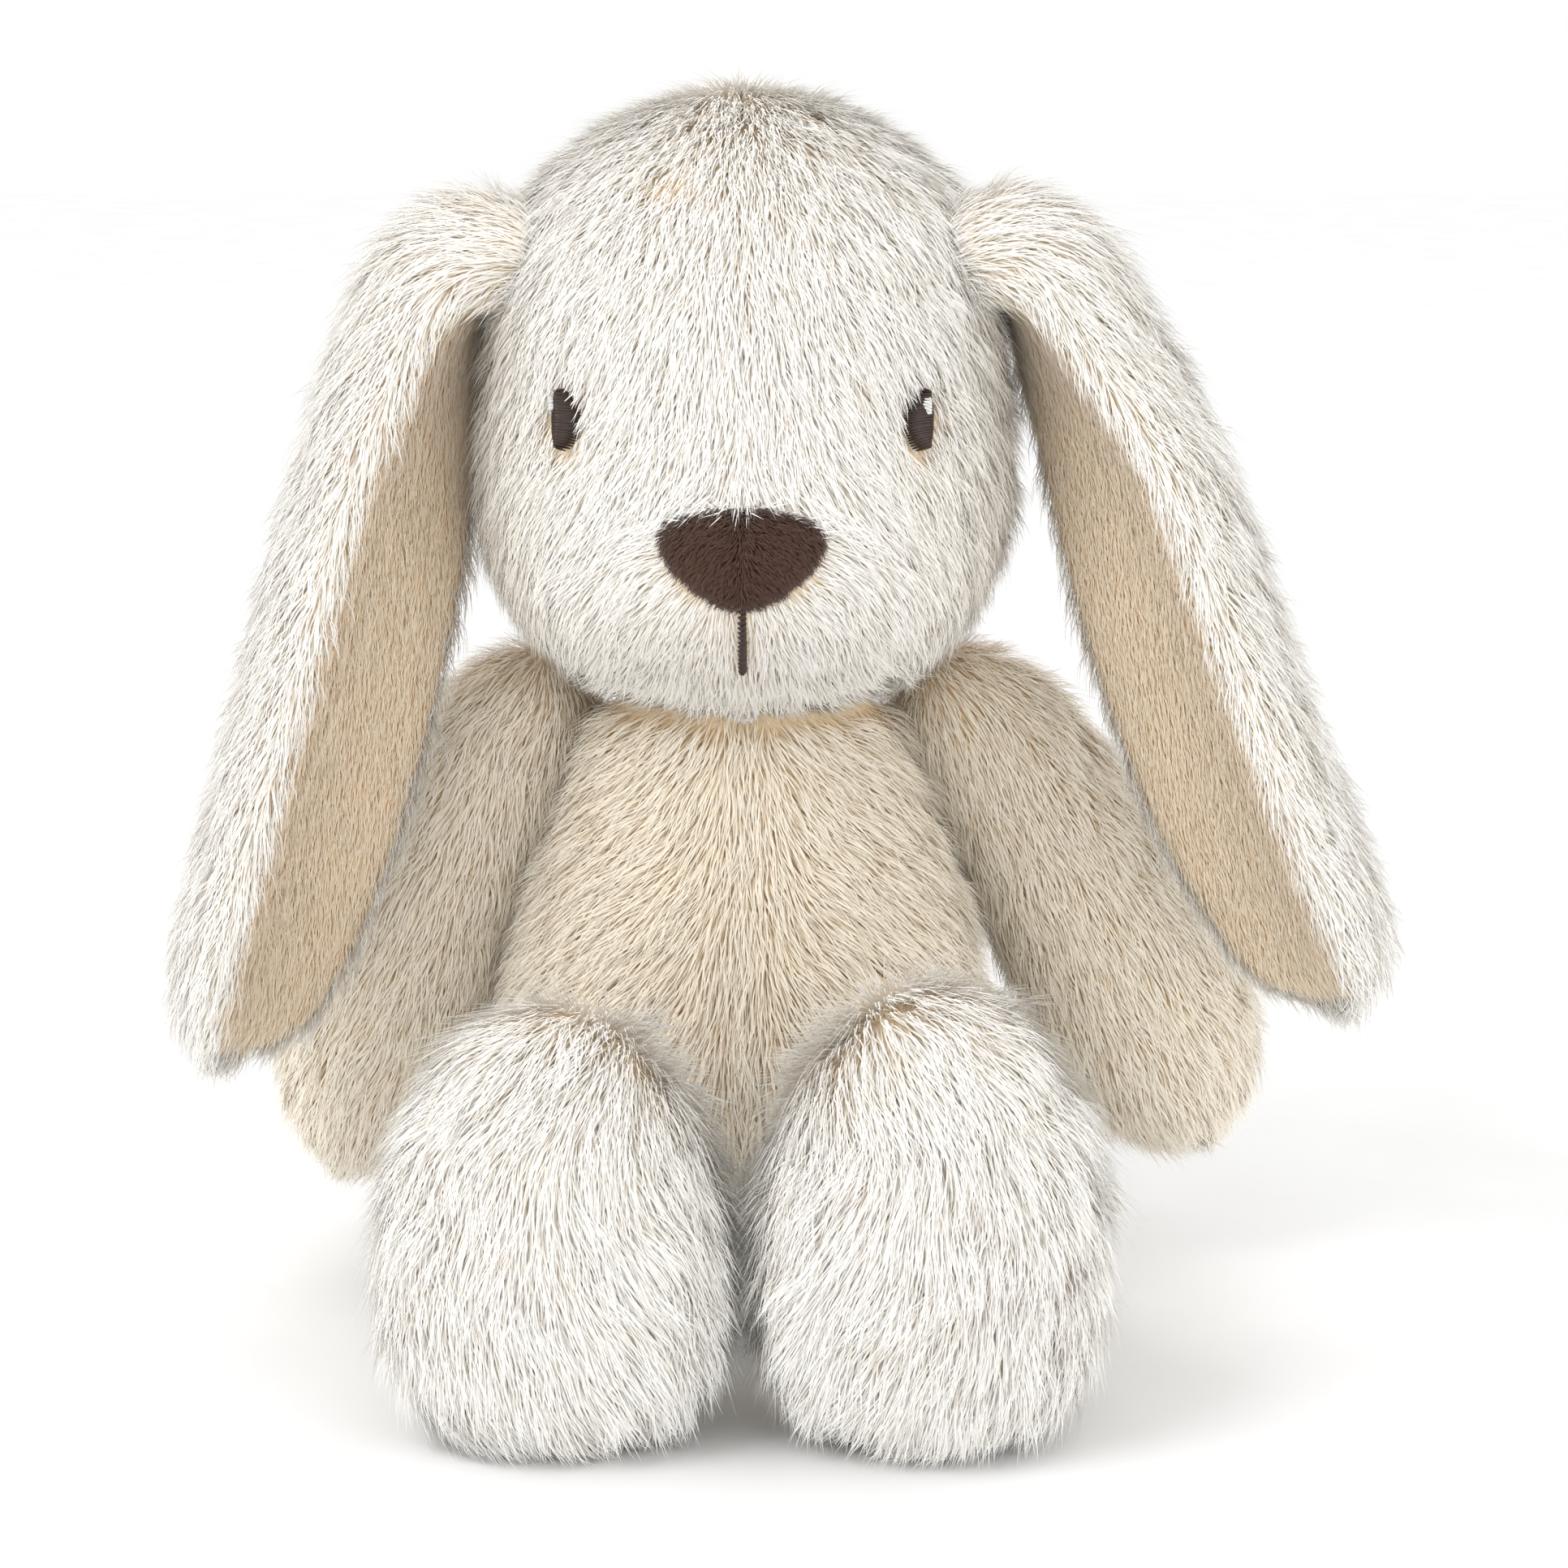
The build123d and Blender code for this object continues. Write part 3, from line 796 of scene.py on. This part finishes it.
class BUNNY_OT_face(bpy.types.Operator):
    """Makes the nose patch, the embroidered eyes and the stitched mouth"""
    bl_idname = "bunny.face"
    bl_label = "Face"

    def execute(self, context):
        pile, colours = context.scene.bunny_pile, context.scene.bunny_colours
        skin = bpy.data.objects["head_skin"]
        find = facing(skin)
        verts, faces = nose_grid(find)
        patch = new_object("nose_patch_base", verts, faces)
        recalculate(patch)
        if normals_of(patch)[:, 1].mean() > 0:
            patch.data.flip_normals()
        p = points_of(patch)
        wish = np.stack([np.sign(p[:, 0]) * 0.8, np.zeros(len(p)), np.full(len(p), -1.0)], axis=1)
        mark(patch, "comb", tangent(patch, wish))
        mark(patch, "pile", np.ones(len(p)))
        nap = pile_material("brown_short_pile", colours.nose_root_shade_and_knit, colours.nose_tip, 0.4, 0.7)
        fur = grow("nose_pile", patch, nap, pile.nose_length, np.ones(len(p)), dense=6.0, lift=1.3, mess=0.35,
                   clump=1.2, scale=500.0, wide=0.75)
        declare(fur, "head")
        # the dark tone of the backing is the knit's own brown, the same colour as the painted root shade of the nose
        # pile
        patch.data.materials.append(cloth_material("brown_knit_backing", colours.nose_root_shade_and_knit, "#3a261d", 0.6))
        thick = patch.modifiers.new("thickness", "SOLIDIFY")
        thick.thickness = 0.0012
        thick.offset = -1
        patch = evaluated(patch, "nose_patch_knit")
        declare(patch, "head", ["nose_patch"])
        dark = thread_material("rayon_thread_dark_brown", colours.thread_dark, 0.42)
        light = thread_material("rayon_thread_white", colours.thread_light, 0.4)
        for side, sign in SIDES.items():
            eye = satin(f"embroidered_eye_{side}", find, (sign * EYE_X, EYE_Z - EYE_DROP), 2.7, 6.0, 0.5, 5.4,
                        0.34)
            eye.data.materials.append(dark)
            declare(eye, "head", [f"eye_{side}"])
            spot = (sign * (EYE_X + 0.1) - 0.5, EYE_Z - EYE_DROP + 2.7)
            glint = satin(f"eye_glint_{side}", find, spot, 1.0, 1.8, 0.5, 6.3, 0.3)
            glint.data.materials.append(light)
            declare(glint, "head", [f"eye_highlight_{side}"])
        verts, faces = [], []
        top, low, step = MOUTH_HIGH[2] + 1.0, MOUTH_LOW[2] + 0.6, 1.0
        for level in np.arange(low, top, step):
            points, normals = [], []
            for s in np.linspace(-1, 1, 5):
                spot, normal = find(0.75 * s, level + 0.55 * s)
                points.append(spot + normal * (3.0 - 0.9 * s * s))
                normals.append(normal)
            stitch(verts, faces, points, normals, 0.52)
        mouth = new_object("mouth_thread", verts, faces)
        recalculate(mouth)
        mouth.data.materials.append(dark)
        declare(mouth, "head", ["mouth_stitch"])
        return {"FINISHED"}


# ---- torso --------------------------------------------------------------------------------
class BUNNY_OT_torso(bpy.types.Operator):
    """Makes the body, its filling and the pieces that show at the back"""
    bl_idname = "bunny.torso"
    bl_label = "Torso"

    def execute(self, context):
        pile = context.scene.bunny_pile
        rows = [(2.6, 0, 0, 0), (2.6, 14, 13, 13), (2.8, 28, 25, 25), (6, 37, 33, 33), (16, 45, 38, 39),
                (34, 49.5, 41, 42), (58, 49, 40, 41), (82, 43.5, 34, 37), (102, 36, 28, 31),
                (120, 29, 23, 25),
                (134, 18, 16, 17), (140, 8, 7, 7), (141, 0, 0, 0)]
        skin = joined_skin("torso_skin", [stacked("torso_rings", rows)])
        p = points_of(skin)
        x, y, z = p.T
        seam = np.exp(-(x / 4) ** 2) * (y < 0)
        p[:, 1] += 1.6 * seam
        set_points(skin, p)
        side = np.clip(x / 18, -1, 1)
        wish = np.stack([side * 0.8, np.where(y > 0, 0.1, 0.0), np.full(len(p), -0.8)], axis=1)
        mark(skin, "comb", tangent(skin, wish))
        mark(skin, "pile", np.where(z < 7, 0.35, 1.0))
        open_seam = 1 - 0.7 * ((np.abs(x) < 0.9) & (y < 0))
        hidden = z < 124
        # the body pile uses the plush painted warmer and darker as shade
        fur = grow("torso_front_pile", skin, shaded_cream(), pile.body_length, (y < 0) * hidden * open_seam,
                   dense=1.0, lift=0.85, clump=1.1)
        declare(fur, "torso")
        fur = grow("torso_back_pile", skin, shaded_cream(), pile.body_length, (y >= 0) * hidden, dense=0.72,
                   lift=0.9, clump=1.1)
        declare(fur, "torso")
        stuff(skin, "torso", "torso_filling", ["torso_stuffing"],
              ["torso_front_left_panel", "torso_front_right_panel", "torso_back_left_panel",
               "torso_back_right_panel", "seat_panel"], depth=2.0)
        self.tail(pile)
        self.back_seam(skin)
        self.label()
        return {"FINISHED"}

    def tail(self, pile):
        """A round tuft low on the back."""
        low, high = node_box("tail_cover")
        centre, radius = (low + high) / 2, (high[2] - low[2]) / 2 - 6
        rows = [(centre[0], 36, centre[2], 0), (centre[0], 38, centre[2], radius * 0.8),
                (centre[0], 44, centre[2], radius), (centre[0], 44 + radius * 0.7, centre[2], radius * 0.75),
                (centre[0], 44 + radius, centre[2], 0)]
        skin = joined_skin("tail_skin", [limb("tail_rings", rows)], 0.002, 4)
        p = points_of(skin)
        mark(skin, "comb", tangent(skin, np.tile((0.0, 0.5, -0.6), (len(p), 1))))
        mark(skin, "pile", np.ones(len(p)))
        fur = grow("tail_pile", skin, cream(), pile.body_length, np.ones(len(p)), lift=1.4)
        declare(fur, "torso")
        stuff(skin, "torso", "tail_filling", ["tail_stuffing"], ["tail_cover"])

    def back_seam(self, skin):
        """Ladder stitches that close the seam up the back, sunk in the pile."""
        tree = BVHTree.FromPolygons([v.co.copy() for v in skin.data.vertices],
                                    [tuple(f.vertices) for f in skin.data.polygons])
        low, high = node_box("closing_stitches")
        verts, faces = [], []
        for level in np.arange(low[2], high[2] + 1, 3.0):
            points, normals = [], []
            for s in np.linspace(-1, 1, 5):
                start = Vector((2.0 * s * MM, 0.3, (level + 0.6 * s) * MM))
                point, normal, _, _ = tree.ray_cast(start, Vector((0, -1, 0)))
                points.append(np.array(point) / MM + np.array(normal) * (0.7 - 0.5 * s * s))
                normals.append(np.array(normal))
            stitch(verts, faces, points, normals, 0.3)
        thread = new_object("back_seam_thread", verts, faces)
        recalculate(thread)
        thread.data.materials.append(thread_material("polyester_thread_cream", "#e9dfcd", 0.5))
        declare(thread, "torso", ["closing_stitches"])

    def label(self):
        """A folded blank tape caught in the back side seam."""
        low, high = node_box("blank_label")
        start, end = np.array((low[0] + 11, high[1] - 14)), np.array((low[0] + 2, high[1] - 3))
        line = curve_through([np.append(start, 0), np.append((start + end) / 2 + (1, 0.4), 0),
                              np.append(end, 0)], 9)
        outward = np.array((0.7, 0.7, 0)) * 0.35
        loop = np.vstack([line + outward, line[::-1] - outward])
        verts = [(q[0], q[1], z) for z in (low[2], high[2]) for q in loop]
        n = len(loop)
        faces = [(k, k + 1, n + k + 1, n + k) for k in range(n - 1)]
        tape = new_object("blank_tape_label", verts, faces)
        thick = tape.modifiers.new("thickness", "SOLIDIFY")
        thick.thickness = 0.0003
        tape = evaluated(tape, "blank_label_tape")
        tape.data.materials.append(cloth_material("woven_satin_tape", "#e6e4de", "#fbfaf7", 0.5, 0.5))
        declare(tape, "torso", ["blank_label"])


# ---- ears ---------------------------------------------------------------------------------
EAR_LINES = {
    # x out from the middle, y, z, half width, half thickness and turn of the flat in degrees
    "left": [(36, -2, 213, 12, 8, 0), (47, -3, 217, 18, 10.5, 2), (59, -5, 212, 21, 11.5, 8),
             (68, -9, 197, 22, 11, 18),
             (79.5, -16, 172, 25, 11, 26), (90.5, -24, 140, 26.5, 11, 28), (101.5, -30, 111, 26, 10.5, 29),
             (111, -35, 91, 23, 10, 28), (116.5, -38, 79, 16, 8, 28), (119, -39, 72, 3, 3, 28)],
    "right": [(36, -2, 212, 12, 8, 0), (47, -3, 216, 18, 10.5, 2), (59, -5, 211, 21, 11.5, 8),
              (66, -9, 196, 22, 11, 18),
              (73.5, -16, 168, 25, 11, 26), (81.5, -24, 136, 26.5, 11, 28), (90, -30, 106, 26, 10.5, 29),
              (97, -35, 83, 23, 10, 28), (101.5, -38, 69, 16, 8, 28), (104, -39, 61, 3, 3, 28)],
}


def ear_rings(side, around=48, count=60):
    """Points and faces of a cupped ear, and each ring point's place round the edge; 0 is the middle of the lining."""
    sign = SIDES[side]
    line = curve_through(EAR_LINES[side], count)
    spine = line[:, :3] * (sign, 1, 1)
    heading = unit(np.gradient(spine, axis=0))
    angle = (np.arange(around) + 0.5) * 2 * math.pi / around
    verts, round_ear, down = [], [], []
    for k, (point, t) in enumerate(zip(spine, heading)):
        turn = math.radians(line[k, 5])
        wide_way = np.array((sign * math.sin(turn), -math.cos(turn), 0.0))
        wide_way -= t * np.dot(wide_way, t)
        wide_way /= np.linalg.norm(wide_way)
        out_way = np.cross(wide_way, t)
        if out_way[0] * sign < 0:
            out_way = -out_way
        half, thick = line[k, 3], line[k, 4]
        cup = 0.42 * half * min(1.0, k / (0.35 * count))
        for a in angle:
            u, w = -math.cos(a - math.pi / 2), math.sin(a - math.pi / 2)
            bend = -cup * (u * u - 0.3)
            verts.append(point + wide_way * (u * half) + out_way * (w * thick + bend))
            round_ear.append(abs((a + math.pi) % (2 * math.pi) - math.pi))
            down.append(t)
    verts += [spine[0], spine[-1]]
    round_ear += [math.pi, math.pi]
    down += [heading[0], heading[-1]]
    return np.array(verts), tube_faces(count, around), np.array(round_ear), np.array(down)


class BUNNY_OT_ears(bpy.types.Operator):
    """Makes both lop ears: outer skin that wraps the edge, peach lining, pile and wadding"""
    bl_idname = "bunny.ears"
    bl_label = "Ears"

    def execute(self, context):
        pile, colours = context.scene.bunny_pile, context.scene.bunny_colours
        lining_mat = pile_material("peach_plush_short_pile", colours.lining_root_shade, colours.lining_tip, 0.5,
                                   0.7)
        backing = cloth_material("peach_knit_backing", "#f3d0a4", "#ffe6c6", 0.7)
        for side, sign in SIDES.items():
            verts, faces, place, down = ear_rings(side)
            along = np.arange(len(verts)) / len(verts)
            whole = joined_skin(f"ear_skin_{side}", [new_object("ear_rings", verts, faces)], 0.0018, 4)
            near = nearest(verts, points_of(whole))
            lined = (place[near] < 1.02) & (along[near] > 0.13) & (along[near] < 0.945)
            mark(whole, "comb", tangent(whole, down[near]))
            mark(whole, "pile", np.where(place[near] < 1.35, 0.72, 1.0))
            fur = grow(f"ear_outer_pile_{side}", whole, cream(), pile.ear_length, (~lined) * 1.0, dense=0.95,
                       lift=0.8, clump=0.9)
            self.hang(fur, side)
            mark(whole, "pile", np.ones(len(near)))
            fur = grow(f"ear_lining_pile_{side}", whole, lining_mat, pile.lining_length, lined * 1.0,
                       dense=1.5,
                       lift=0.55, clump=0.8, scale=260.0, mess=0.22)
            self.hang(fur, side, slot="short_pile_peach")
            core = shrunk(whole, f"ear_wadding_sheet_{side}", 1.5, fibre_material())
            self.hang(core, side, [f"ear_wadding_{side}"], "ear_wadding")
            whole.data.materials.append(skin_material())
            whole.data.materials.append(backing)
            for face in whole.data.polygons:
                face.material_index = int(all(lined[i] for i in face.vertices))
            self.hang(whole, side, [f"ear_outer_{side}", f"ear_lining_{side}"], "long_pile_plush", fill=0.4)
        return {"FINISHED"}

    def hang(self, piece, side, nodes=(), slot=None, fill=None):
        """Bakes the piece's placing into its mesh and hides the CAD nodes it stands for."""
        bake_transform(piece)
        if nodes:
            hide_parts(*nodes)


# ---- arms ---------------------------------------------------------------------------------
ARM_LINES = {
    # x out from the middle, y, z and radius
    "left": [(34, 14, 127, 4), (38, 15, 124, 12), (48, 17, 114, 17), (61, 18, 96, 19.5), (75, 18, 74, 21.5),
             (85, 17, 53, 21), (89, 16, 38, 16.5), (90.5, 15, 30, 8), (91, 15, 27.5, 0)],
    "right": [(34, 14, 127, 4), (38, 15, 124, 12), (47, 17, 114, 17), (57, 18, 96, 19.5), (68, 18, 73, 21.5),
              (76, 17, 50, 21), (80, 16, 33, 16.5), (82, 15, 25, 8), (82.5, 15, 22, 0)],
}


class BUNNY_OT_arms(bpy.types.Operator):
    """Makes both arms: sleeve skin, pile and filling"""
    bl_idname = "bunny.arms"
    bl_label = "Arms"

    def execute(self, context):
        pile = context.scene.bunny_pile
        for side, sign in SIDES.items():
            rows = [(sign * x, y, z, r) for x, y, z, r in ARM_LINES[side]]
            skin = joined_skin(f"arm_skin_{side}", [limb("arm_rings", rows, 0.92)])
            p = points_of(skin)
            way = np.array(rows[-2][:3]) - np.array(rows[2][:3])
            mark(skin, "comb", tangent(skin, np.tile(way / np.linalg.norm(way), (len(p), 1))))
            mark(skin, "pile", np.ones(len(p)))
            # the arm pile uses the plush painted warmer and darker as shade
            fur = grow(f"arm_pile_{side}", skin, shaded_cream(), pile.body_length, np.ones(len(p)), dense=0.95,
                       lift=0.85, clump=1.1)
            declare(fur, f"arm_{side}")
            stuff(skin, f"arm_{side}", f"arm_filling_{side}", [f"arm_stuffing_{side}"],
                  [f"arm_outer_{side}", f"arm_inner_{side}"])
        return {"FINISHED"}


# ---- legs ---------------------------------------------------------------------------------
class BUNNY_OT_legs(bpy.types.Operator):
    """Makes both legs with their big round feet"""
    bl_idname = "bunny.legs"
    bl_label = "Legs"

    def execute(self, context):
        pile = context.scene.bunny_pile
        for side, sign in SIDES.items():
            low, high = node_box(f"foot_sole_{side}", f"foot_cover_{side}")
            middle = (low + high) / 2
            tall = 89.0 if side == "left" else 85.0
            x0, y0 = sign * 35.5, middle[1] + 5
            shares = [(0.03, 0, 0, 0), (0.035, 10, 5, 7), (0.07, 19, 11, 14), (0.17, 27, 17, 18),
                      (0.34, 30.3, 20, 19),
                      (0.52, 29.6, 20.5, 18), (0.70, 26, 18, 16), (0.85, 19, 13, 12), (0.95, 10, 7, 7),
                      (0.99, 0, 0, 0)]
            foot = stacked("foot_rings", [(s * tall, a, f, b) for s, a, f, b in shares], (x0, y0))
            hip = JOINTS[f"leg_{side}_raise"]
            rows = [(hip[0] - sign * 3, hip[1] + 14, 28, 6), (hip[0] - sign * 2, hip[1] + 8, 28, 15),
                    (hip[0], hip[1] - 8, 28, 17), (x0, y0 + 16, 31, 18), (x0, y0, 33, 14)]
            sleeve = limb("leg_rings", rows)
            skin = joined_skin(f"leg_skin_{side}", [foot, sleeve], 0.0025, 10)
            p = points_of(skin)
            x, y, z = p.T
            on_foot = y < y0 + 14
            centre = np.array((x0 + sign * 3, y0, 0.62 * tall))
            spread = (p - centre) * (1, 0.0, 1)
            spread /= np.maximum(np.linalg.norm(spread, axis=1), 22)[:, None]
            turning = np.stack([spread[:, 2], np.zeros(len(p)), -spread[:, 0]], axis=1) * sign * 0.5
            wish = np.where(on_foot[:, None], spread * 0.45 + turning * 0.8 + (0, -0.35, -0.85),
                            (0.0, -1.0, -0.3))
            mark(skin, "comb", tangent(skin, wish))
            mark(skin, "pile", np.where(z < 7, 0.4, 1.0) * np.where(on_foot, 1.0, 0.8))
            sole = (y < y0 + 1) * 1.0
            fur = grow(f"foot_sole_pile_{side}", skin, cream(), pile.foot_length, sole, dense=1.2, lift=0.9,
                       clump=1.5, scale=110.0)
            declare(fur, f"leg_{side}")
            fur = grow(f"foot_cover_pile_{side}", skin, cream(), pile.foot_length, 1 - sole, dense=1.0,
                       lift=1.0,
                       clump=1.8, scale=120.0)
            declare(fur, f"leg_{side}")
            stuff(skin, f"leg_{side}", f"leg_filling_{side}",
                  [f"leg_stuffing_{side}", f"foot_stuffing_{side}"],
                  [f"leg_sleeve_{side}", f"foot_cover_{side}", f"foot_sole_{side}"])
        return {"FINISHED"}


# ---- carried-over pieces ------------------------------------------------------------------
class BUNNY_OT_inside(bpy.types.Operator):
    """Gives the neck ball, the pellet pouch and the pellets their materials"""
    bl_idname = "bunny.inside"
    bl_label = "Inside"

    def execute(self, context):
        pouch = cloth_material("cotton_pouch_cloth", "#d8d4c8", "#f0ede4", 0.5)
        beads = cloth_material("polyethylene_pellets", "#cfd0d0", "#f5f5f5", 3.0, 0.35, 1.0)
        for node, made in (("neck_stuffing", fibre_material()), ("pellet_pouch", pouch),
                           ("seat_pellets", beads)):
            slots = frame["nodes"][node].material_slots
            if not slots:
                raise RuntimeError(f"{node} has no material slot")
            for each in slots:
                each.material = made
        return {"FINISHED"}


# ---- stage --------------------------------------------------------------------------------
class BUNNY_OT_stage(bpy.types.Operator):
    """Makes the pale floor, the soft studio light and the camera"""
    bl_idname = "bunny.stage"
    bl_label = "Stage"

    def execute(self, context):
        settings = context.scene.bunny_stage
        floor = new_object("floor", [(-3000, -3000, 0), (3000, -3000, 0), (3000, 3000, 0), (-3000, 3000, 0)],
                           [(0, 1, 2, 3)])
        floor.data.materials.append(cloth_material("matt_white_paper", "#fbfbfb", "#ffffff", 40.0, 0.9, 0.0))
        world = bpy.data.worlds.new("white_studio")
        world.use_nodes = True
        world.node_tree.nodes["Background"].inputs["Color"].default_value = (1.0, 1.0, 1.0, 1.0)
        world.node_tree.nodes["Background"].inputs["Strength"].default_value = settings.sky
        context.scene.world = world
        for name, spot, size, power in (("key", (-0.75, -0.75, 1.15), 0.7, settings.key),
                                        ("fill", (0.9, -1.3, 0.7), 1.4, settings.key * 0.6)):
            light = bpy.data.lights.new(name, "AREA")
            light.size = size
            light.energy = power
            lamp = bpy.data.objects.new(name, light)
            lamp.location = spot
            lamp.rotation_euler = (Vector((0, 0, 0.1)) - Vector(spot)).to_track_quat("-Z", "Y").to_euler()
            context.scene.collection.objects.link(lamp)
        target = Vector((0.008, 0.0, 0.107))
        away = Vector((0, -math.cos(settings.rise), math.sin(settings.rise))) * settings.distance
        lens = bpy.data.cameras.new("camera")
        lens.lens = settings.lens
        lens.sensor_width = 36.0
        lens.clip_start = 0.01
        camera = bpy.data.objects.new("camera", lens)
        camera.location = target + away
        camera.rotation_euler = (-away).to_track_quat("-Z", "Y").to_euler()
        context.scene.collection.objects.link(camera)
        context.scene.camera = camera
        context.scene.view_settings.view_transform = "Standard"
        return {"FINISHED"}


class BUNNY_PT_panel(bpy.types.Panel):
    """Lists the settings and the steps"""
    bl_label = "Stuffed bunny"
    bl_space_type = "VIEW_3D"
    bl_region_type = "UI"
    bl_category = "Bunny"

    def draw(self, context):
        for group in (context.scene.bunny_pile, context.scene.bunny_colours, context.scene.bunny_stage):
            for name in group.__annotations__:
                self.layout.prop(group, name)
        for step in STEPS:
            self.layout.operator(step.bl_idname)


SETTINGS = {"bunny_pile": BunnyPileSettings, "bunny_colours": BunnyColourSettings,
            "bunny_stage": BunnyStageSettings}
STEPS = (BUNNY_OT_stage, BUNNY_OT_head, BUNNY_OT_face, BUNNY_OT_torso, BUNNY_OT_ears, BUNNY_OT_arms,
         BUNNY_OT_legs,
         BUNNY_OT_inside)


def register():
    for made in (*SETTINGS.values(), *STEPS, BUNNY_PT_panel):
        bpy.utils.register_class(made)
    for name, made in SETTINGS.items():
        setattr(bpy.types.Scene, name, PointerProperty(type=made))


def unregister():
    for name in SETTINGS:
        delattr(bpy.types.Scene, name)
    for made in (BUNNY_PT_panel, *reversed(STEPS), *SETTINGS.values()):
        bpy.utils.unregister_class(made)


def main():
    register()
    for step in STEPS:
        group, name = step.bl_idname.split(".")
        getattr(getattr(bpy.ops, group), name)()


if __name__ == "__main__":
    main()
